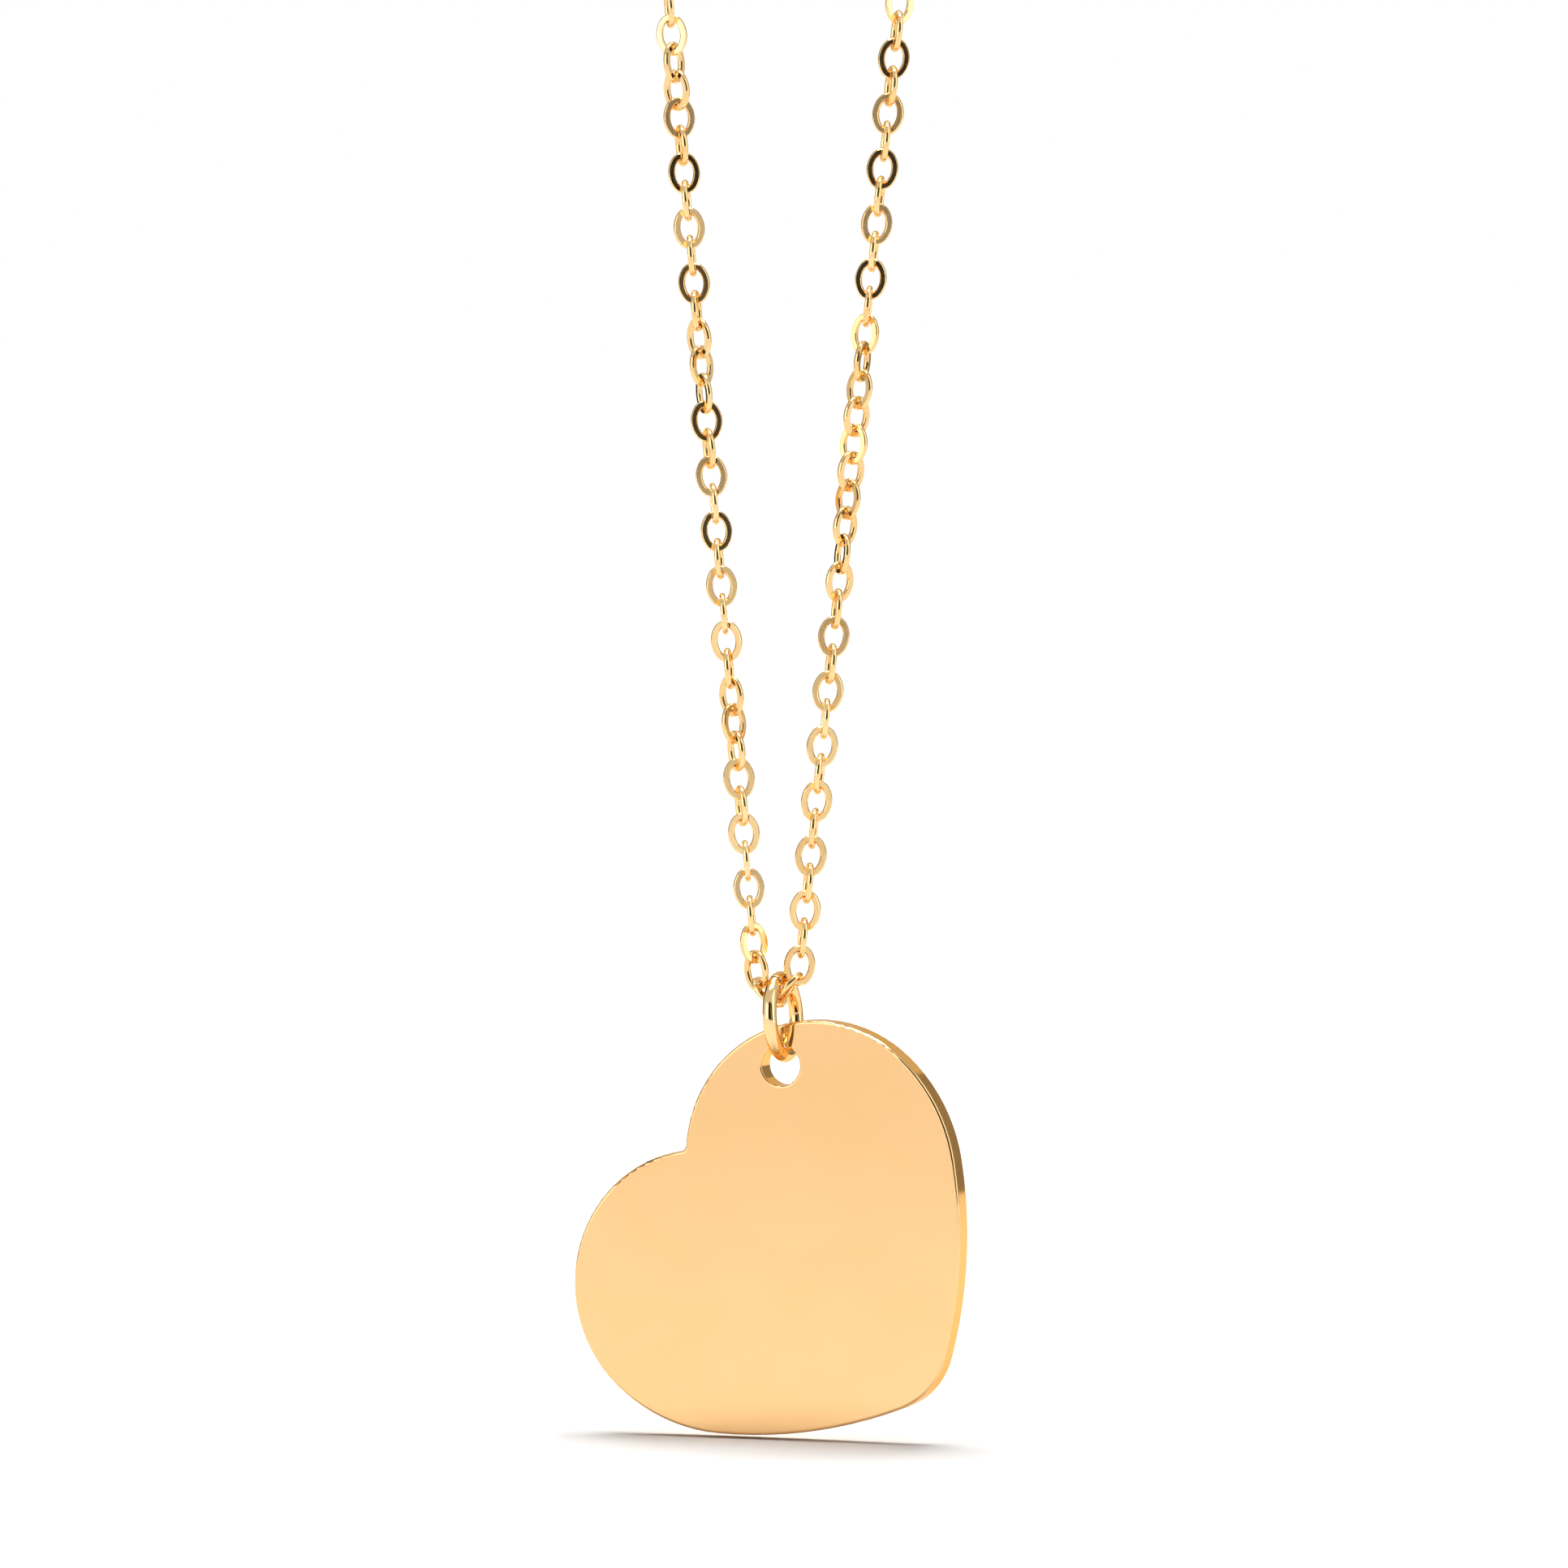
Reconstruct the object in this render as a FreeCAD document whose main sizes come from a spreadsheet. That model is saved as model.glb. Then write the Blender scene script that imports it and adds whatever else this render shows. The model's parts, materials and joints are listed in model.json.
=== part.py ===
import FreeCAD, Part
import math
import os
import Sketcher

# A pendant necklace, in millimetres, Z up, X across, Y from front to back.
# It hangs in a closed loop over a rounded bar: a heart tag on a jump ring at the bottom,
# two straight strands of cable chain, and a spring ring clasp on top of the bar.
# The origin is the middle of the bar, so the whole necklace is below and around it.

Vector = FreeCAD.Vector
Rotation = FreeCAD.Rotation
Placement = FreeCAD.Placement

ACROSS = Vector(1, 0, 0)
BACK = Vector(0, 1, 0)
UP = Vector(0, 0, 1)

# the ends of an arc, as a sketch counts them
ARC_START = 1
ARC_END = 2
# points that place each turn of the clasp's spring
STEPS_IN_TURN = 12

# driving dimensions, in mm and degrees
DIMENSIONS = [
    # chain links
    ("LinkWire", 0.34),
    ("LinkWidth", 1.57),
    ("LinkPitch", 1.36),
    ("LinkEndRadius", 0.50),
    ("WireGap", 0.02),
    ("LinkFlat", 0.27),
    # hanging loop
    ("LinksEachSide", 163),
    ("LinksPerStretch", 29),
    ("LeftLean", 5.15),
    ("RightLean", 5.92),
    ("StrandSpacing", 2.0),
    ("LeftFirstTwist", 139),
    ("RightFirstTwist", 0),
    ("TwistWobble", 11),
    ("WobbleStep", 137),
    # heart tag
    ("HeartThick", 1.3),
    ("HeartHalfWidth", 11.2),
    ("LobeRadius", 6.8),
    ("ShoulderRadius", 8.6),
    ("ShoulderTurn", 51),
    ("SideRadius", 23.5),
    ("TipRadius", 3.7),
    ("CleftRadius", 0.25),
    ("HeartEdgeRadius", 0.14),
    ("HoleDiameter", 2.0),
    ("HoleEdgeRadius", 0.10),
    ("HoleBack", 4.35),
    ("HoleAside", 6.58),
    ("HeartLean", 42),
    ("HeartYaw", 20),
    # rings
    ("RingOuter", 4.5),
    ("RingWire", 0.7),
    ("RingSweep", 358.6),
    ("RingLean", -4.3),
    ("RingSplit", 150),
    ("EyeOuter", 2.0),
    ("EyeWire", 0.45),
    ("EyeSeat", 0.15),
    ("LinkRingOuter", 2.6),
    ("LinkRingWire", 0.45),
    ("EndRingOuter", 3.4),
    ("EndRingWire", 0.5),
    ("RingTilt", 30),
    ("ClaspRingSplit", 80),
    # clasp
    ("CaseOuter", 6.0),
    ("CaseTube", 1.4),
    ("CaseBore", 1.04),
    ("BoltRod", 0.94),
    ("MouthStart", 25),
    ("MouthEnd", 70),
    ("MouthSeat", 4),
    ("BoltTail", 118),
    ("LeverAngle", 106),
    ("LeverRod", 0.38),
    ("LeverReach", 3.45),
    ("LeverHead", 0.66),
    ("SlotWidth", 0.46),
    ("SlotStart", 101),
    ("SlotEnd", 156),
    ("SpringEnd", 234),
    ("SpringWire", 0.14),
    ("SpringOuter", 0.84),
    ("SpringTurns", 10),
]

# how the two links at the bottom lie: middle measured from the lower end of the left strand,
# the way the long axis points, and the way the wide axis points
CENTRE_LINKS = [
    ("left", Vector(0.579, -0.124, -0.385), Vector(0.801, 0.032, -0.598), Vector(0.284, 0.859, 0.426)),
    ("right", Vector(1.509, 0.154, -0.209), Vector(0.645, -0.141, 0.751), Vector(0.274, 0.960, -0.055)),
]
# middle of the jump ring, from the lower end of the left strand
RING_MIDDLE = Vector(1.255, 0.28, -1.625)

# each strand's twist: (how many links up it is, over how many links it spreads, degrees)
LEFT_TWISTS = [(1, 3, -46), (9.5, 8, 90), (22.5, 8, 90), (32.4, 7, 90), (128, 20, 45)]
RIGHT_TWISTS = [(14, 7, 45), (23, 7, 45), (33, 5, 20), (40, 12, 70), (128, 20, 45)]


def make_sheet(doc):
    """The driving dimensions, one cell each, with the name beside the number."""
    sheet = doc.addObject("Spreadsheet::Sheet", "Sizes")
    for row, (alias, number) in enumerate(DIMENSIONS, start=1):
        sheet.set(f"A{row}", alias)
        sheet.set(f"B{row}", str(number))
        sheet.setAlias(f"B{row}", alias)
    doc.recompute()
    return sheet


doc = FreeCAD.newDocument("PendantNecklace")
sheet = make_sheet(doc)
size = {alias: float(sheet.get(alias)) for alias, number in DIMENSIONS}
pieces = []


def keep(piece, label, placement=None):
    """Names a finished sub-part and puts it in its place."""
    piece.Label = label
    if placement is not None:
        piece.Placement = placement
    pieces.append(piece)
    return piece


def sine(degrees):
    return math.sin(math.radians(degrees))


def cosine(degrees):
    return math.cos(math.radians(degrees))


# ---------------------------------------------------------------- the hanging loop


def wire_ring_middle(outer, wire):
    """Radius of a wire ring's centre line."""
    return (outer - wire) / 2


def clasp_reach_left():
    """From the middle of the clasp to where the last link of the left strand pulls."""
    eye = size["CaseOuter"] / 2 - size["EyeSeat"] + size["EyeOuter"] - size["EyeWire"]
    ring = size["LinkRingOuter"] - 2 * size["LinkRingWire"] - size["WireGap"]
    return eye + ring


def clasp_reach_right():
    """From the middle of the clasp to where the last link of the right strand pulls."""
    inside = size["CaseOuter"] / 2 - size["CaseTube"] - 2 * size["WireGap"]
    return inside + size["EndRingOuter"] - 2 * size["EndRingWire"]


HALF_TOP = (clasp_reach_left() + clasp_reach_right()) / 2
CLASP_MIDDLE = clasp_reach_left() - HALF_TOP


def shoulder_turn(lean):
    """Angle in radians through which a strand bends over its shoulder of the bar."""
    return math.radians(90 + lean)


def bar_radius():
    """Radius of the chain's centre line on each shoulder of the bar, which closes the loop."""
    leans = (size["LeftLean"], size["RightLean"])
    strand = size["LinksEachSide"] * size["LinkPitch"]
    drop = sum(strand * sine(lean) for lean in leans)
    gain = sum(cosine(lean) + shoulder_turn(lean) * sine(lean) for lean in leans)
    return (size["StrandSpacing"] - 2 * HALF_TOP + drop) / gain


BAR = bar_radius()


class Strand:
    """One side of the loop, from its lower end up, over the shoulder and along the top."""

    def __init__(self, side, lean, first_twist, twists):
        self.side = side
        self.lean = lean
        self.first_twist = first_twist
        self.twists = twists
        self.rise = size["LinksEachSide"] * size["LinkPitch"] - shoulder_turn(lean) * BAR
        self.up = Vector(side * sine(lean), 0, cosine(lean))
        leaves = Vector(side * (HALF_TOP + BAR * cosine(lean)), 0, -BAR * sine(lean))
        self.foot = leaves - self.up * self.rise

    def point(self, number):
        """Where link number (counted from the foot) pulls on the link below it."""
        along = number * size["LinkPitch"]
        if along <= self.rise:
            return self.foot + self.up * along
        turn = (along - self.rise) / BAR - math.radians(self.lean)
        return Vector(self.side * (HALF_TOP + BAR * math.cos(turn)), 0, BAR * math.sin(turn))

    def twist(self, number):
        """Angle of a link's wide axis from the plane of the loop. No two links lie quite alike."""
        total = self.first_twist + 90 * (number % 2)
        total += size["TwistWobble"] * sine(size["WobbleStep"] * number)
        for middle, width, degrees in self.twists:
            share = min(max((number - middle) / width + 0.5, 0), 1)
            total += degrees * share * share * (3 - 2 * share)
        return total

    def placement(self, number):
        """Placement of one link between its two pulling points."""
        low = self.point(number)
        high = self.point(number + 1)
        along = (high - low).normalize()
        sideways = BACK.cross(along)
        wide = sideways * cosine(self.twist(number)) + BACK * sine(self.twist(number))
        return Placement((low + high) / 2, Rotation(wide, Vector(), along, "ZXY"))


left = Strand(-1, size["LeftLean"], size["LeftFirstTwist"], LEFT_TWISTS)
right = Strand(1, size["RightLean"], size["RightFirstTwist"], RIGHT_TWISTS)


# ---------------------------------------------------------------- chain links


def torus_sector(name, radius, wire, sweep, middle, start):
    """Round wire bent to an arc in the XZ plane, from the start angle on."""
    arc = doc.addObject("Part::Torus", name)
    arc.setExpression("Radius1", radius)
    arc.setExpression("Radius2", wire)
    arc.Angle3 = sweep
    arc.Placement = Placement(middle, Rotation(ACROSS, 90).multiply(Rotation(UP, start)))
    return arc


def link_side():
    """Radius of a link's long sides, and the angle through which each half of them bends."""
    half_long = (size["LinkPitch"] + size["LinkWire"] + size["WireGap"]) / 2
    half_wide = (size["LinkWidth"] - size["LinkWire"]) / 2
    end = size["LinkEndRadius"]
    run = half_long - end
    radius = (run * run + half_wide * half_wide - end * end) / (2 * (half_wide - end))
    bend = math.degrees(math.atan2(run, radius - half_wide))
    return radius, bend, run, radius - half_wide


def make_link(name):
    """One oval link of four tangent arcs of round wire, long way up, its two faces cut flat."""
    radius, bend, run, inset = link_side()
    half_wide = "(Sizes.LinkWidth - Sizes.LinkWire) / 2"
    half_long = "(Sizes.LinkPitch + Sizes.LinkWire + Sizes.WireGap) / 2"
    rise = f"({half_long} - Sizes.LinkEndRadius)"
    side = (
        f"({rise} ^ 2 + ({half_wide}) ^ 2 - Sizes.LinkEndRadius ^ 2)"
        f" / (2 * ({half_wide} - Sizes.LinkEndRadius))"
    )
    end = "Sizes.LinkEndRadius"
    wire = "Sizes.LinkWire / 2"
    arcs = [
        torus_sector(f"{name}_right", side, wire, 2 * bend, Vector(-inset, 0, 0), -bend),
        torus_sector(f"{name}_top", end, wire, 180 - 2 * bend, Vector(0, 0, run), bend),
        torus_sector(f"{name}_left", side, wire, 2 * bend, Vector(inset, 0, 0), 180 - bend),
        torus_sector(f"{name}_foot", end, wire, 180 - 2 * bend, Vector(0, 0, -run), 180 + bend),
    ]
    round_link = doc.addObject("Part::MultiFuse", f"{name}_round")
    round_link.Shapes = arcs
    slab = doc.addObject("Part::Box", f"{name}_slab")
    slab.setExpression("Length", "Sizes.LinkWidth * 2")
    slab.setExpression("Width", "Sizes.LinkFlat")
    slab.setExpression("Height", "Sizes.LinkWidth * 2")
    slab.Placement = Placement(Vector(-size["LinkWidth"], -size["LinkFlat"] / 2, -size["LinkWidth"]), Rotation())
    link = doc.addObject("Part::Common", name)
    link.Base = round_link
    link.Tool = slab
    return link


def make_centre_links():
    """The two links at the bottom of the loop, which carry the jump ring."""
    for side, middle, along, wide in CENTRE_LINKS:
        name = f"centre_link_{side}"
        turn = Rotation(wide, Vector(), along, "ZXY")
        keep(make_link(name), name, Placement(left.foot + middle, turn))


def make_stretch(name, strand, first, last, link):
    """A stretch of linked links, first to last, each its own solid."""
    links = []
    for number in range(first, last):
        copy = link.copy()
        copy.Placement = strand.placement(number)
        links.append(copy)
    stretch = doc.addObject("Part::Feature", name)
    stretch.Shape = Part.makeCompound(links)
    keep(stretch, name)


def make_chain():
    """Both strands in hinged stretches, and the stretches over the bar."""
    make_centre_links()
    doc.recompute()
    link = doc.getObject("centre_link_left").Shape.copy()
    link.Placement = Placement()
    each = int(size["LinksPerStretch"])
    ends = [0] + [each * (count + 1) - 1 for count in range(5)]
    for side, strand in (("left", left), ("right", right)):
        for count in range(5):
            label = f"chain_{side}_{5 - count}"
            make_stretch(label, strand, ends[count], ends[count + 1], link)
        make_stretch(f"chain_back_{side}", strand, ends[5], int(size["LinksEachSide"]), link)


# ---------------------------------------------------------------- heart tag


def body_plane(body, role):
    """One of a body's own origin planes."""
    return next(plane for plane in body.Origin.OriginFeatures if plane.Role == role)


def sketch_on(body, role, name):
    sketch = body.newObject("Sketcher::SketchObject", name)
    sketch.AttachmentSupport = (body_plane(body, role), [""])
    sketch.MapMode = "FlatFace"
    return sketch


def arc_about(middle, radius, start, end):
    """An arc from the start angle to the end angle, counterclockwise, in degrees."""
    circle = Part.Circle(middle, UP, radius)
    return Part.ArcOfCircle(circle, math.radians(start), math.radians(end))


def bearing(start, end):
    """Direction from one point to another, in degrees."""
    return math.degrees(math.atan2(end.y - start.y, end.x - start.x))


def heart_arcs():
    """The heart's outline, its axis along X with the tip at +X, and its lobes level with X = 0."""
    lobe = Vector(0, size["HeartHalfWidth"] - size["LobeRadius"], 0)
    shoulder = Vector(0, size["HeartHalfWidth"] - size["ShoulderRadius"], 0)
    turn = Vector(cosine(size["ShoulderTurn"]), sine(size["ShoulderTurn"]), 0)
    side = shoulder - turn * (size["SideRadius"] - size["ShoulderRadius"])
    tip = Vector(side.x + math.sqrt((size["SideRadius"] - size["TipRadius"]) ** 2 - side.y**2), 0, 0)
    notch_reach = size["LobeRadius"] + size["CleftRadius"]
    notch = Vector(-math.sqrt(notch_reach**2 - lobe.y**2), 0, 0)
    cleft_turn = bearing(notch, lobe)
    tip_turn = bearing(side, tip)
    upper = [
        ("SideRadius", side, tip_turn, size["ShoulderTurn"]),
        ("ShoulderRadius", shoulder, size["ShoulderTurn"], 90),
        ("LobeRadius", lobe, 90, 180 + cleft_turn),
    ]
    arcs = [("TipRadius", tip, -tip_turn, tip_turn)]
    arcs += upper
    arcs.append(("CleftRadius", notch, -cleft_turn, cleft_turn))
    for alias, middle, start, end in reversed(upper):
        arcs.append((alias, Vector(middle.x, -middle.y, 0), -end, -start))
    return arcs


def draw_heart(sketch):
    """Tangent arcs, each joined to the next, with radii from the sheet."""
    arcs = heart_arcs()
    for alias, middle, start, end in arcs:
        sketch.addGeometry(arc_about(middle, size[alias], start, end), False)
    ends = [(ARC_END, ARC_START) if arc[0] == "CleftRadius" else (ARC_START, ARC_END) for arc in arcs]
    for index, (alias, middle, start, end) in enumerate(arcs):
        following = (index + 1) % len(arcs)
        joint = (index, ends[index][1], following, ends[following][0])
        sketch.addConstraint(Sketcher.Constraint("Coincident", *joint))
        radius = sketch.addConstraint(Sketcher.Constraint("Radius", index, size[alias]))
        sketch.setExpression(f"Constraints[{radius}]", f"Sizes.{alias}")


def heart_placement():
    """The tag hangs from the ring by its hole, and its face is turned to one side."""
    hole = Vector(-size["HoleBack"], 0, size["HoleAside"])
    turn = Rotation(UP, -size["HeartYaw"]).multiply(Rotation(BACK, size["HeartLean"]))
    return Placement(hole_middle() - turn.multVec(hole), turn)


def ring_stand():
    """How the pendant's ring stands: square to the tag's face, its top leaning a little to one side."""
    return Rotation(UP, -size["HeartYaw"]).multiply(Rotation(BACK, size["RingLean"]))


def hole_middle():
    """The wire bears on the hole's top at both faces of the tag, because the ring curves up."""
    inside = size["RingOuter"] / 2 - size["RingWire"] - size["WireGap"]
    bearing_drop = math.sqrt(inside**2 - (size["HeartThick"] / 2) ** 2)
    lowest = left.foot + RING_MIDDLE - ring_stand().multVec(UP) * bearing_drop
    return lowest - UP * (size["HoleDiameter"] / 2)


def rim_edges(shape, radius):
    """Names of the edges in the plate's two flat faces: the hole's rims, or else the outline."""
    half = size["HeartThick"] / 2
    names = []
    for index, edge in enumerate(shape.Edges, start=1):
        box = edge.BoundBox
        flat = box.YLength < 1e-6 and abs(abs(box.YMin) - half) < 1e-6
        rim = edge.Closed
        if flat and rim == (radius == "HoleEdgeRadius"):
            names.append(f"Edge{index}")
    return names


def round_edges(body, base, name, radius):
    """Rounds one set of the plate's edges."""
    fillet = body.newObject("PartDesign::Fillet", name)
    fillet.Base = (base, rim_edges(base.Shape, radius))
    fillet.setExpression("Radius", f"Sizes.{radius}")
    doc.recompute()
    if not fillet.Shape.Volume < base.Shape.Volume:
        raise RuntimeError(f"{name} takes nothing off")
    return fillet


def make_heart():
    """The polished heart tag: one flat plate with rounded edges and a hole in one lobe."""
    body = doc.addObject("PartDesign::Body", "heart_tag")
    outline = sketch_on(body, "XZ_Plane", "heart_outline")
    draw_heart(outline)
    plate = body.newObject("PartDesign::Pad", "heart_plate")
    plate.Profile = outline
    plate.SideType = "Symmetric"
    plate.setExpression("Length", "Sizes.HeartThick")
    doc.recompute()
    circle = sketch_on(body, "XZ_Plane", "heart_hole_circle")
    centre = Vector(-size["HoleBack"], size["HoleAside"], 0)
    circle.addGeometry(Part.Circle(centre, UP, size["HoleDiameter"] / 2), False)
    circle.addConstraint(Sketcher.Constraint("Diameter", 0, size["HoleDiameter"]))
    circle.setExpression("Constraints[0]", "Sizes.HoleDiameter")
    hole = body.newObject("PartDesign::Pocket", "heart_hole")
    hole.Profile = circle
    hole.SideType = "Symmetric"
    hole.setExpression("Length", "Sizes.HeartThick * 2")
    doc.recompute()
    drilled = math.pi * (size["HoleDiameter"] / 2) ** 2 * size["HeartThick"]
    if abs(plate.Shape.Volume - hole.Shape.Volume - drilled) > 0.001:
        raise RuntimeError("the hole isn't cut through the heart")
    outer = round_edges(body, hole, "heart_edge", "HeartEdgeRadius")
    round_edges(body, outer, "heart_hole_edge", "HoleEdgeRadius")
    keep(body, "heart_tag", heart_placement())


# ---------------------------------------------------------------- rings


def make_ring(name, alias, turn, split, middle):
    """A jump ring of round wire, bent round until its ends all but meet at the split."""
    ring = doc.addObject("Part::Torus", name)
    ring.setExpression("Radius1", f"(Sizes.{alias}Outer - Sizes.{alias}Wire) / 2")
    ring.setExpression("Radius2", f"Sizes.{alias}Wire / 2")
    ring.setExpression("Angle3", "Sizes.RingSweep")
    keep(ring, name, Placement(middle, turn.multiply(Rotation(UP, split))))


def make_pendant_ring():
    """The jump ring has its split at the back near the top."""
    upright = ring_stand().multiply(Rotation(BACK, 90))
    make_ring("pendant_jump_ring", "Ring", upright, size["RingSplit"], left.foot + RING_MIDDLE)


def clasp_point(along):
    """A point on the line through the clasp, level with the chain on top of the bar."""
    return Vector(CLASP_MIDDLE + along, 0, BAR)


def make_clasp_rings():
    """The ring between the clasp's eye and the left strand, and the ring that the clasp opens for."""
    lean = 90 - size["RingTilt"]
    link_ring = -(clasp_reach_left() - (size["LinkRingOuter"] - 2 * size["LinkRingWire"]) / 2)
    end_ring = clasp_reach_right() - (size["EndRingOuter"] - 2 * size["EndRingWire"]) / 2
    forward = Rotation(ACROSS, lean)
    backward = Rotation(ACROSS, -lean)
    make_ring("clasp_jump_ring", "LinkRing", forward, size["ClaspRingSplit"], clasp_point(link_ring))
    make_ring("end_ring", "EndRing", backward, size["ClaspRingSplit"], clasp_point(end_ring))


# ---------------------------------------------------------------- clasp


def tube_sector(name, tube, start, end):
    """A sector of the clasp's round tube, solid, flat on the bar."""
    sector = doc.addObject("Part::Torus", name)
    sector.setExpression("Radius1", "(Sizes.CaseOuter - Sizes.CaseTube) / 2")
    sector.setExpression("Radius2", f"Sizes.{tube} / 2")
    sector.Angle3 = end - start
    sector.Placement = Placement(Vector(), Rotation(UP, start))
    return sector


def make_case():
    """The spring ring's case: a bent tube with a mouth, a bore for the bolt, and a thumb slot."""
    mouth_end = size["MouthEnd"]
    lip = size["MouthStart"] + 360
    tube = tube_sector("case_tube", "CaseTube", mouth_end, lip)
    bore = tube_sector("case_bore", "CaseBore", mouth_end - 1, size["SpringEnd"])
    seat = tube_sector("case_seat", "CaseBore", lip - size["MouthSeat"], lip + 1)
    slot = doc.addObject("Part::Cylinder", "case_slot")
    slot.setExpression("Radius", "Sizes.CaseOuter")
    slot.setExpression("Height", "Sizes.SlotWidth")
    slot.setExpression("Angle", "Sizes.SlotEnd - Sizes.SlotStart")
    slot.Placement = Placement(Vector(0, 0, -size["SlotWidth"] / 2), Rotation(UP, size["SlotStart"]))
    core = doc.addObject("Part::Cylinder", "case_slot_core")
    core.setExpression("Radius", "(Sizes.CaseOuter - Sizes.CaseTube) / 2")
    core.setExpression("Height", "Sizes.CaseTube")
    core.Placement = Placement(Vector(0, 0, -size["CaseTube"] / 2), Rotation())
    slot_cut = cut("case_slot_ring", slot, core)
    hollows = doc.addObject("Part::MultiFuse", "case_hollows")
    hollows.Shapes = [bore, seat, slot_cut]
    keep(cut("clasp_case", tube, hollows), "clasp_case", Placement(clasp_point(0), Rotation()))


def cut(name, base, tool):
    difference = doc.addObject("Part::Cut", name)
    difference.Base = base
    difference.Tool = tool
    return difference


def make_bolt():
    """The bolt that closes the mouth, bent to the case's curve, with its thumb lever."""
    tip = size["MouthStart"] - size["MouthSeat"] + 1
    rod = tube_sector("bolt_rod", "BoltRod", tip, size["BoltTail"])
    outward = Vector(cosine(size["LeverAngle"]), sine(size["LeverAngle"]), 0)
    stem = doc.addObject("Part::Cylinder", "bolt_stem")
    stem.setExpression("Radius", "Sizes.LeverRod / 2")
    stem.setExpression("Height", "Sizes.LeverReach - (Sizes.CaseOuter - Sizes.CaseTube) / 2")
    start = outward * wire_ring_middle(size["CaseOuter"], size["CaseTube"])
    stem.Placement = Placement(start, Rotation(UP, outward))
    head = doc.addObject("Part::Sphere", "bolt_head")
    head.setExpression("Radius", "Sizes.LeverHead / 2")
    head.Placement = Placement(outward * size["LeverReach"], Rotation())
    bolt = doc.addObject("Part::MultiFuse", "clasp_bolt")
    bolt.Shapes = [rod, stem, head]
    keep(bolt, "clasp_bolt", Placement(clasp_point(0), Rotation()))


def make_spring():
    """The coil spring behind the bolt, wound along the case's curve."""
    bend = wire_ring_middle(size["CaseOuter"], size["CaseTube"])
    coil = (size["SpringOuter"] - size["SpringWire"]) / 2
    margin = math.degrees(size["SpringWire"] / bend)
    start = size["BoltTail"] + margin
    reach = size["SpringEnd"] - margin - start
    steps = int(size["SpringTurns"]) * STEPS_IN_TURN
    points = []
    for step in range(steps + 1):
        turn = 360 * step / STEPS_IN_TURN
        out = bend + coil * cosine(turn)
        angle = start + reach * step / steps
        points.append(Vector(out * cosine(angle), out * sine(angle), coil * sine(turn)))
    curve = Part.BSplineCurve()
    curve.interpolate(points)
    path = Part.Wire([curve.toShape()])
    first = curve.tangent(curve.FirstParameter)[0]
    section = Part.Wire([Part.Circle(points[0], first, size["SpringWire"] / 2).toShape()])
    spring = doc.addObject("Part::Feature", "clasp_spring")
    spring.Shape = path.makePipeShell([section], True, True)
    keep(spring, "clasp_spring", Placement(clasp_point(0), Rotation()))


def make_eye():
    """The small closed ring soldered to the case, opposite the mouth, hollowed to fit it."""
    ring = doc.addObject("Part::Torus", "eye_ring")
    ring.setExpression("Radius1", "(Sizes.EyeOuter - Sizes.EyeWire) / 2")
    ring.setExpression("Radius2", "Sizes.EyeWire / 2")
    reach = (size["CaseOuter"] + size["EyeOuter"]) / 2 - size["EyeSeat"]
    ring.Placement = Placement(Vector(-reach, 0, 0), Rotation())
    case = tube_sector("eye_seat", "CaseTube", 0, 360)
    keep(cut("clasp_eye", ring, case), "clasp_eye", Placement(clasp_point(0), Rotation()))


# ---------------------------------------------------------------- build, check and write


def check_document():
    """Every object is computed without error, and every sub-part is a valid solid."""
    for item in doc.Objects:
        if "Invalid" in item.State or "Error" in item.State:
            raise RuntimeError(f"{item.Name} failed: {item.State}")
    for piece in pieces:
        shape = piece.Shape
        if shape.isNull() or not shape.isValid() or not shape.Solids:
            raise RuntimeError(f"{piece.Label} has no valid shape")


def write_parts():
    os.makedirs("parts", exist_ok=True)
    for piece in pieces:
        piece.Shape.exportStep(f"parts/{piece.Label}.step")
        solids = piece.Shape.Solids
        volume = sum(solid.Volume for solid in solids)
        print(f"{piece.Label}: {len(solids)} solids, {volume:.3f} mm3")


make_chain()
make_heart()
make_pendant_ring()
make_clasp_rings()
make_case()
make_bolt()
make_spring()
make_eye()
doc.recompute()
check_document()
write_parts()
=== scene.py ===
import json
import math

import bmesh
import bpy
from mathutils import Matrix, Vector


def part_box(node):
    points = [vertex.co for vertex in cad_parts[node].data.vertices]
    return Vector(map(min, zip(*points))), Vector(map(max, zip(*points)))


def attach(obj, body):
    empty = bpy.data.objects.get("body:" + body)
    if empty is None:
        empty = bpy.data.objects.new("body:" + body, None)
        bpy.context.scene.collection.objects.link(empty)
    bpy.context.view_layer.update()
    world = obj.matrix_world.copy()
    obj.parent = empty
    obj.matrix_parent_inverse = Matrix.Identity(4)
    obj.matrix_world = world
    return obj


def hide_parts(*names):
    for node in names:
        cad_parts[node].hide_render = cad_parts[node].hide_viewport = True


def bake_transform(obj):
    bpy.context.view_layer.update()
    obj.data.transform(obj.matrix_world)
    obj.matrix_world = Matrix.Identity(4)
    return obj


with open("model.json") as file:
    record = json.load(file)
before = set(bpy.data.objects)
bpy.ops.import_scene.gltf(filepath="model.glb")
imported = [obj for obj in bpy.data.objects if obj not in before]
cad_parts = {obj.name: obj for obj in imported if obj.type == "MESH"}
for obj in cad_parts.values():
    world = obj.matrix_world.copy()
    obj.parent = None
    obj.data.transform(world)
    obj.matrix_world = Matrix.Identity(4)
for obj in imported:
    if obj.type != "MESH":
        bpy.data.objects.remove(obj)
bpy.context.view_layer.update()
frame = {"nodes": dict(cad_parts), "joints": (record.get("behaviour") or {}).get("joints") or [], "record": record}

# ---------------------------------------------------------------- sizes, in metres and degrees

MM = 0.001

# camera: a long lens, level with the chain and looking a little down
CAMERA_DISTANCE = 0.6
CAMERA_ELEVATION = 3.0
FRAME_HEIGHT = 77.3 * MM
SENSOR = 36.0
NEAREST_SEEN = 0.01
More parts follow.
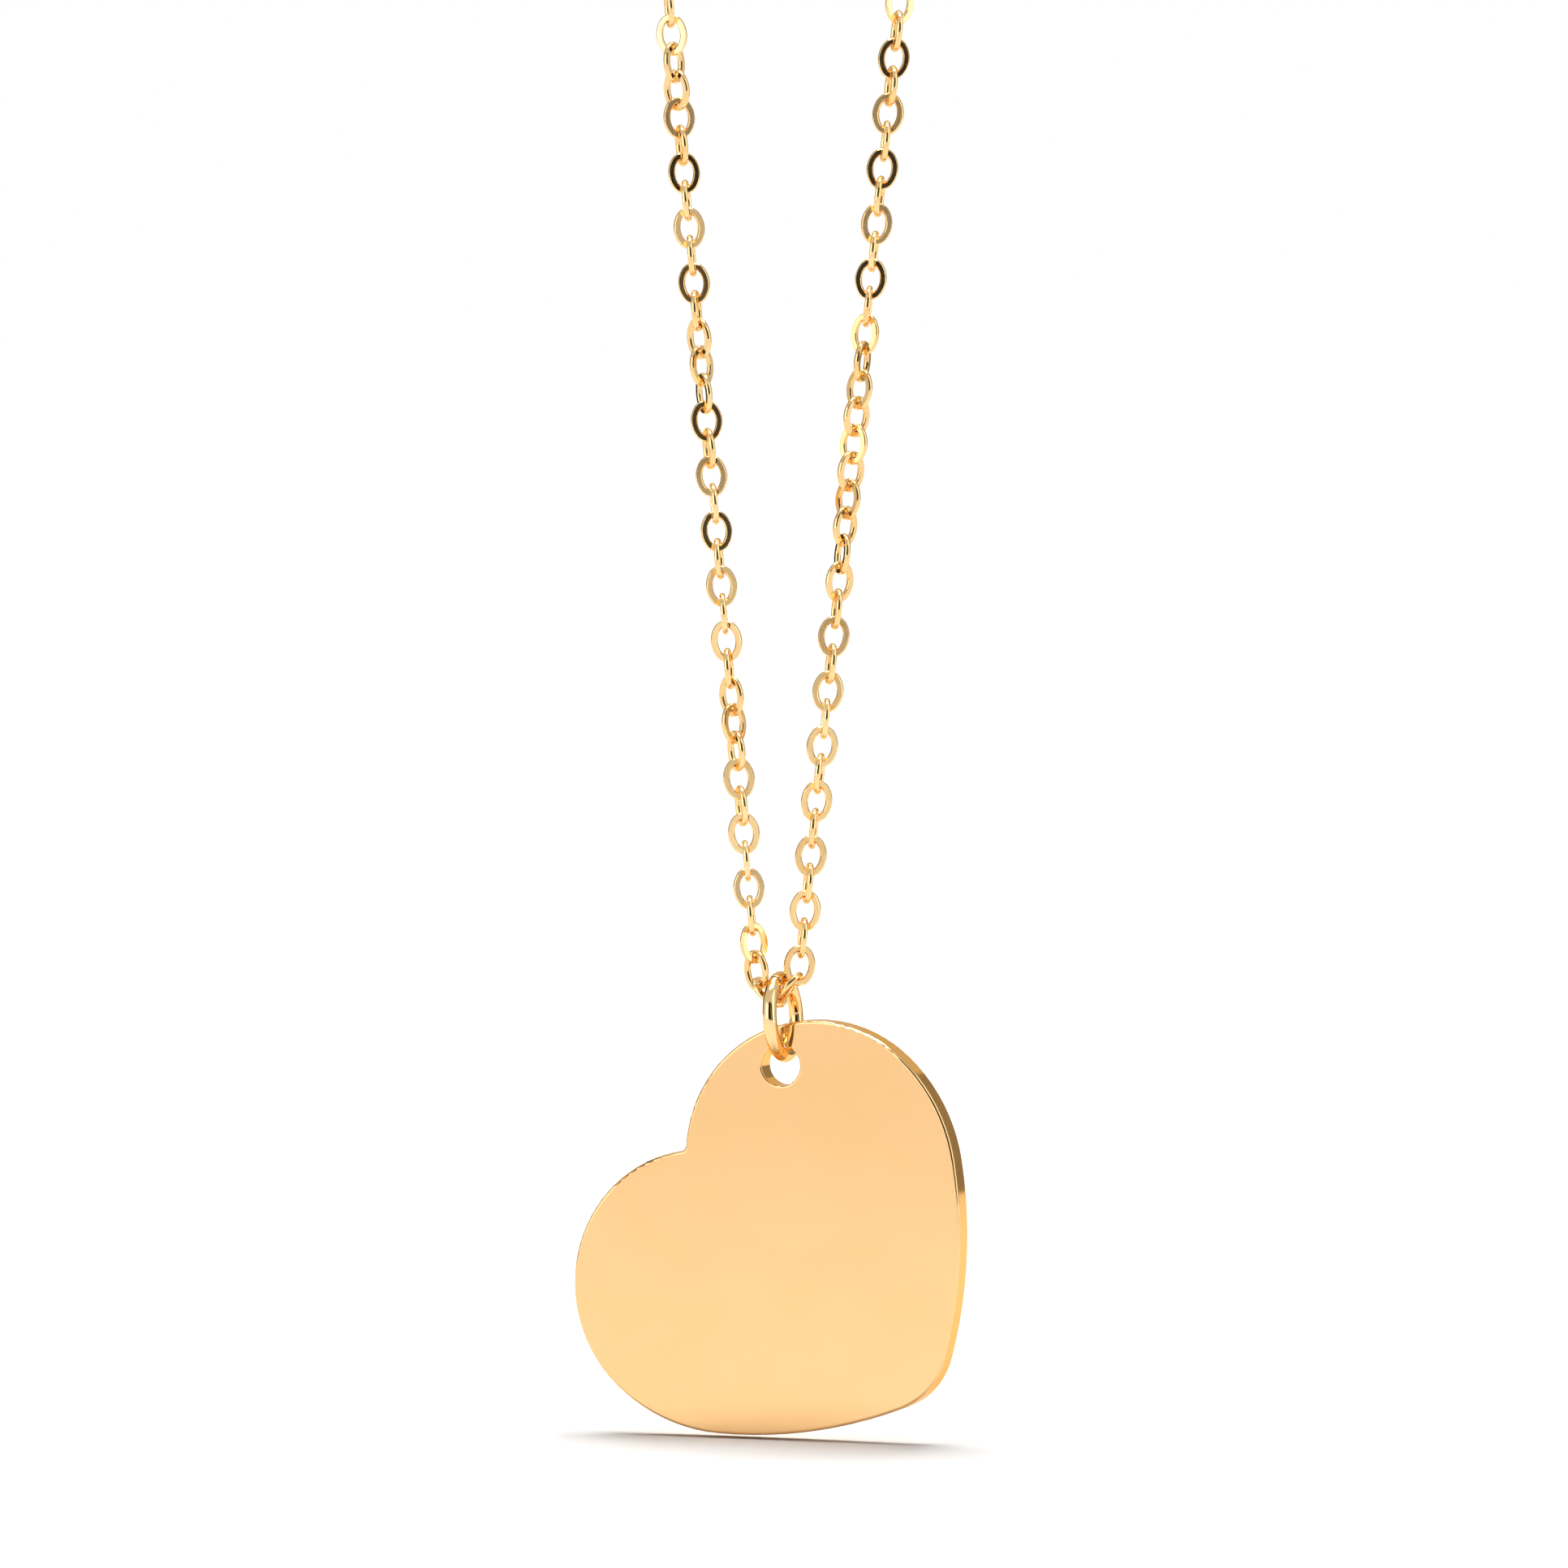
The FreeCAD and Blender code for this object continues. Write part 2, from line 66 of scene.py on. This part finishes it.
# middle of the picture, from the middle of the pendant's ring
LOOK_OFFSET = Vector((0.05, 0.0, 11.5)) * MM

# the pendant's ring: the wire goes all the way round but for its split
RING_OUTER = 4.5 * MM
RING_WIRE = 0.7 * MM
RING_SWEEP = 358.6
RING_SPLIT = 115
RING_STEPS = 160
WIRE_SIDES = 40

# points of the clasp's spring closer than this are one point
WELD = 0.0001 * MM

# the floor is just under the heart
FLOOR_GAP = 0.2 * MM
FLOOR_HALF = 3.0

# how bright the surroundings are: behind the necklace, as light on the floor, and in the gold
BACKDROP_GLOW = 1.0
FLOOR_LIGHT = 0.12
MIRRORED_GLOW = 0.75

# the floor's painted glow, a light of its own though the floor is no lamp: none by the necklace so that its shadow
# stays, more away from it; by metres from the middle
PAINTED_FLOOR_GLOW = ((0.01, 0.0), (0.02, 0.18), (0.2, 0.2), (0.8, 0.95))

# softboxes: azimuth, elevation and distance from the heart, width, height, brightness
SOFTBOXES = {
    "key": (-47, 12, 0.7, 0.55, 0.6, 1.3),
    "fill": (65, 20, 0.7, 0.35, 0.8, 1.1),
    "top": (178, 80, 0.5, 0.37, 0.37, 8.2),
}

# dark cards: azimuth, elevation and distance from the heart, width, height, shade
FLAGS = {
    "flag_front": (2, 0, 0.9, 0.7, 1.6, 0.03),
    "flag_right_front": (38, 0, 0.9, 0.3, 1.2, 0.03),
    "flag_right_back": (135, 0, 0.5, 0.3, 0.8, 0.3),
    "flag_left_back": (-130, 0, 0.5, 0.2, 0.8, 0.05),
}


def middle(node):
    """Middle of a CAD node's box."""
    low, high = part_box(node)
    return (low + high) / 2


# ---------------------------------------------------------------- materials

# gold keeps its colour where light grazes it
EDGE_TINT = (0.95, 0.68, 0.36, 1.0)
PALE_GOLD = (0.92, 0.66, 0.33)
DEEP_GOLD = (0.86, 0.56, 0.24)
HEART_GOLD = (0.90, 0.565, 0.27)
HEART_DEEP = (0.89, 0.55, 0.25)
DULL_STEEL = (0.42, 0.42, 0.43)
BRIGHT_STEEL = (0.62, 0.62, 0.61)
FLOOR_WHITE = 0.8

# gold by material slot: name, pale tone, deep tone, roughness, strength of the polishing lines
GOLD = {
    "chain": ("chain_gold", PALE_GOLD, DEEP_GOLD, 0.1, 0.05),
    "heart": ("heart_gold", HEART_GOLD, HEART_DEEP, 0.07, 0.008),
    "rings": ("ring_gold", PALE_GOLD, DEEP_GOLD, 0.07, 0.04),
    "clasp": ("clasp_gold", PALE_GOLD, DEEP_GOLD, 0.13, 0.08),
}

# how deep the polishing lines are, and how far they are drawn out upwards
LINE_DEPTH = 0.01 * MM
LINE_STRETCH = (1.0, 1.0, 0.06)


def add_node(tree, kind, **inputs):
    """A new shader node with its sockets set; a socket name uses _ for a space."""
    node = tree.nodes.new(kind)
    for name, value in inputs.items():
        node.inputs[name.replace("_", " ")].default_value = value
    return node


def new_paint(name, **inputs):
    """A material with its shader's sockets set; returns it, its node tree and its shader."""
    material = bpy.data.materials.new(name)
    material.use_nodes = True
    shader = material.node_tree.nodes["Principled BSDF"]
    for socket, value in inputs.items():
        shader.inputs[socket.replace("_", " ")].default_value = value
    return material, material.node_tree, shader


def mix_tones(tree, place, shader, stops, **noise):
    """The shader's base colour drifts between two tones, each set at a position in the noise."""
    link = tree.links.new
    drift = add_node(tree, "ShaderNodeTexNoise", **noise)
    link(place.outputs["Object"], drift.inputs["Vector"])
    tone = tree.nodes.new("ShaderNodeValToRGB")
    for element, (position, color) in zip(tone.color_ramp.elements, stops):
        element.position = position
        element.color = (*color, 1)
    link(drift.outputs["Fac"], tone.inputs["Fac"])
    link(tone.outputs["Color"], shader.inputs["Base Color"])


def make_gold(name, pale, deep, roughness, bump):
    """Polished gold plate: a slow drift of tone and gloss, and hair-fine polishing lines."""
    material, tree, shader = new_paint(name, Metallic=1.0, Specular_Tint=EDGE_TINT)
    link = tree.links.new
    place = tree.nodes.new("ShaderNodeTexCoord")
    tones = ((0.35, deep), (0.65, pale))
    mix_tones(tree, place, shader, tones, Scale=180.0, Detail=2.0, Roughness=0.5)

    smear = add_node(tree, "ShaderNodeTexNoise", Scale=900.0, Detail=3.0, Roughness=0.6)
    link(place.outputs["Object"], smear.inputs["Vector"])
    gloss = add_node(tree, "ShaderNodeMapRange", To_Min=roughness * 0.7, To_Max=roughness * 1.3)
    link(smear.outputs["Fac"], gloss.inputs["Value"])
    link(gloss.outputs["Result"], shader.inputs["Roughness"])

    stretch = tree.nodes.new("ShaderNodeMapping")
    stretch.inputs["Scale"].default_value = LINE_STRETCH
    link(place.outputs["Object"], stretch.inputs["Vector"])
    lines = add_node(tree, "ShaderNodeTexNoise", Scale=30000.0, Detail=2.0, Roughness=0.5)
    link(stretch.outputs["Vector"], lines.inputs["Vector"])
    relief = add_node(tree, "ShaderNodeBump", Strength=bump, Distance=LINE_DEPTH)
    link(lines.outputs["Fac"], relief.inputs["Height"])
    link(relief.outputs["Normal"], shader.inputs["Normal"])
    return material


def make_steel(name):
    """Drawn spring wire: grey, with a fine grain."""
    material, tree, shader = new_paint(name, Metallic=1.0, Roughness=0.3)
    place = tree.nodes.new("ShaderNodeTexCoord")
    tones = ((0.0, DULL_STEEL), (1.0, BRIGHT_STEEL))
    mix_tones(tree, place, shader, tones, Scale=6000.0, Detail=3.0)
    return material


def make_card_paint(name, shade):
    """Matt card of one grey."""
    return new_paint(name, Base_Color=(shade, shade, shade, 1), Roughness=1.0, Specular_IOR_Level=0.0)


def make_floor_paint(name):
    """Matt white card with painted light: it glows, not at all by the necklace and more and more away from it."""
    material, tree, shader = make_card_paint(name, FLOOR_WHITE)
    link = tree.links.new
    shader.inputs["Emission Color"].default_value = (1, 1, 1, 1)
    place = tree.nodes.new("ShaderNodeTexCoord")
    away = tree.nodes.new("ShaderNodeVectorMath")
    away.operation = "LENGTH"
    link(place.outputs["Object"], away.inputs[0])
    # painted light: the floor's emission grows with the distance from the middle
    glow = tree.nodes.new("ShaderNodeValToRGB")
    stops = glow.color_ramp.elements
    for _ in range(len(PAINTED_FLOOR_GLOW) - len(stops)):
        stops.new(0.5)
    for stop, (distance, strength) in zip(stops, PAINTED_FLOOR_GLOW):
        stop.position = distance
        stop.color = (strength, strength, strength, 1)
    link(away.outputs["Value"], glow.inputs["Fac"])
    link(glow.outputs["Color"], shader.inputs["Emission Strength"])
    return material


# ---------------------------------------------------------------- camera, floor and light


def add_object(name, data):
    """An object for the data, in the scene."""
    thing = bpy.data.objects.new(name, data)
    bpy.context.scene.collection.objects.link(thing)
    return thing


def make_camera():
    """At the height of the chain, in front, looking slightly down."""
    data = bpy.data.cameras.new("camera")
    data.sensor_width = SENSOR
    data.lens = SENSOR * CAMERA_DISTANCE / FRAME_HEIGHT
    data.clip_start = NEAREST_SEEN
    camera = add_object("camera", data)
    lift = math.radians(CAMERA_ELEVATION)
    back = Vector((0, -math.cos(lift), math.sin(lift))) * CAMERA_DISTANCE
    camera.location = middle("pendant_jump_ring") + LOOK_OFFSET + back
    camera.rotation_euler = (math.pi / 2 - lift, 0, 0)
    bpy.context.scene.camera = camera


def make_plane(name, half_wide, half_high, paint):
    """An upright card facing -Y, or a floor once it is laid down."""
    mesh = bpy.data.meshes.new(name)
    corners = [(-1, -1), (1, -1), (1, 1), (-1, 1)]
    points = [(x * half_wide, 0, z * half_high) for x, z in corners]
    mesh.from_pydata(points, [], [(0, 1, 2, 3)])
    mesh.materials.append(paint)
    plane = add_object(name, mesh)
    return plane


def make_floor():
    floor = make_plane("floor", FLOOR_HALF, FLOOR_HALF, make_floor_paint("floor_paint"))
    floor.rotation_euler = (-math.pi / 2, 0, 0)
    floor.location = (0, 0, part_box("heart_tag")[0].z - FLOOR_GAP)


def aim(thing, spot, azimuth, elevation, distance):
    """Puts a light or card round the spot, facing it. Azimuth 0 is in front, 90 to the right."""
    turn = math.radians(azimuth)
    lift = math.radians(elevation)
    way = Vector((math.sin(turn) * math.cos(lift), -math.cos(turn) * math.cos(lift), math.sin(lift)))
    thing.location = spot + way * distance
    thing.rotation_euler = (-way).to_track_quat("-Z", "Y").to_euler()


def make_softbox(name, azimuth, elevation, distance, wide, high, glow):
    """A rectangular softbox, whose brightness as seen in a mirror is glow."""
    data = bpy.data.lights.new(name, "AREA")
    data.shape = "RECTANGLE"
    data.size = wide
    data.size_y = high
    data.energy = glow * math.pi * wide * high
    light = add_object(name, data)
    aim(light, middle("heart_tag"), azimuth, elevation, distance)


def make_flag(name, azimuth, elevation, distance, wide, high, shade):
    """A dark card, seen in the gold and not by the camera."""
    paint = make_card_paint(f"{name}_paint", shade)[0]
    flag = make_plane(name, wide / 2, high / 2, paint)
    flag.data.transform(Matrix.Rotation(-math.pi / 2, 4, "X"))
    aim(flag, middle("heart_tag"), azimuth, elevation, distance)
    flag.visible_camera = False
    flag.visible_shadow = False
    flag.visible_diffuse = False


def make_world():
    """White behind the necklace, greyer as the gold mirrors it and as it lights the floor."""
    world = bpy.data.worlds.new("world")
    bpy.context.scene.world = world
    world.use_nodes = True
    tree = world.node_tree
    tree.nodes.clear()
    link = tree.links.new
    path = tree.nodes.new("ShaderNodeLightPath")
    out = tree.nodes.new("ShaderNodeOutputWorld")
    white, lit, mirrored = [
        add_node(tree, "ShaderNodeBackground", Color=(1, 1, 1, 1), Strength=strength)
        for strength in (BACKDROP_GLOW, FLOOR_LIGHT, MIRRORED_GLOW)
    ]
    by_gloss = tree.nodes.new("ShaderNodeMixShader")
    link(path.outputs["Is Glossy Ray"], by_gloss.inputs["Fac"])
    link(lit.outputs["Background"], by_gloss.inputs[1])
    link(mirrored.outputs["Background"], by_gloss.inputs[2])
    by_camera = tree.nodes.new("ShaderNodeMixShader")
    link(path.outputs["Is Camera Ray"], by_camera.inputs["Fac"])
    link(by_gloss.outputs["Shader"], by_camera.inputs[1])
    link(white.outputs["Background"], by_camera.inputs[2])
    link(by_camera.outputs["Shader"], out.inputs["Surface"])


# ---------------------------------------------------------------- the necklace


def paint_nodes():
    """Every CAD piece gets the paint of its material slot."""
    for part in frame["record"]["subparts"]:
        node = frame["nodes"][part["node"]]
        for index in range(len(node.material_slots)):
            node.material_slots[index].material = PAINTS[part["material_slot"]]


def make_spring(name, node):
    """The clasp's spring: the CAD node's shape, welded and shaded smoothly, in place of the CAD one."""
    mesh = bmesh.new()
    mesh.from_mesh(frame["nodes"][node].data)
    bmesh.ops.remove_doubles(mesh, verts=mesh.verts, dist=WELD)
    for face in mesh.faces:
        face.smooth = True
        face.material_index = 0
    data = bpy.data.meshes.new(name)
    mesh.to_mesh(data)
    mesh.free()
    data.materials.append(PAINTS["spring"])
    if "custom_normal" in data.attributes:
        data.attributes.remove(data.attributes["custom_normal"])
    spring = add_object(name, data)
    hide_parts(node)
    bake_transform(spring)


def make_ring(name, node, joint_name, outer, wire):
    """A smooth jump ring in place of the CAD one, round its swing joint's axis."""
    joint = next(joint for joint in frame["joints"] if joint["name"] == joint_name)
    axis = Vector(joint["axis"])
    turn = axis.to_track_quat("Z", "Y").to_matrix().to_4x4()
    radius = (outer - wire) / 2
    sweep = math.radians(RING_SWEEP)
    start = math.radians(RING_SPLIT)
    mesh = bmesh.new()
    loops = []
    for step in range(RING_STEPS + 1):
        angle = start + sweep * step / RING_STEPS
        outward = Vector((math.cos(angle), math.sin(angle), 0))
        loop = []
        for side in range(WIRE_SIDES):
            round_wire = math.tau * side / WIRE_SIDES
            reach = radius + wire / 2 * math.cos(round_wire)
            rise = wire / 2 * math.sin(round_wire)
            loop.append(mesh.verts.new(outward * reach + Vector((0, 0, rise))))
        loops.append(loop)
    for one, two in zip(loops, loops[1:]):
        for side in range(WIRE_SIDES):
            after = (side + 1) % WIRE_SIDES
            mesh.faces.new((one[side], two[side], two[after], one[after])).smooth = True
    mesh.faces.new(loops[0])
    mesh.faces.new(reversed(loops[-1]))
    bmesh.ops.recalc_face_normals(mesh, faces=mesh.faces)
    data = bpy.data.meshes.new(name)
    mesh.to_mesh(data)
    mesh.free()
    data.transform(Matrix.Translation(Vector(joint["pos_m"])) @ turn)
    data.materials.append(PAINTS["rings"])
    ring = add_object(name, data)
    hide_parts(node)
    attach(ring, joint["child"])


bpy.context.scene.view_settings.view_transform = "Standard"
make_camera()
make_floor()
make_world()
for name, settings in SOFTBOXES.items():
    make_softbox(name, *settings)
for name, settings in FLAGS.items():
    make_flag(name, *settings)
PAINTS = {slot: make_gold(*finish) for slot, finish in GOLD.items()}
PAINTS["spring"] = make_steel("spring_steel")
paint_nodes()
make_ring("pendant_ring", "pendant_jump_ring", "ring_swing", RING_OUTER, RING_WIRE)
make_spring("spring_coil", "clasp_spring")
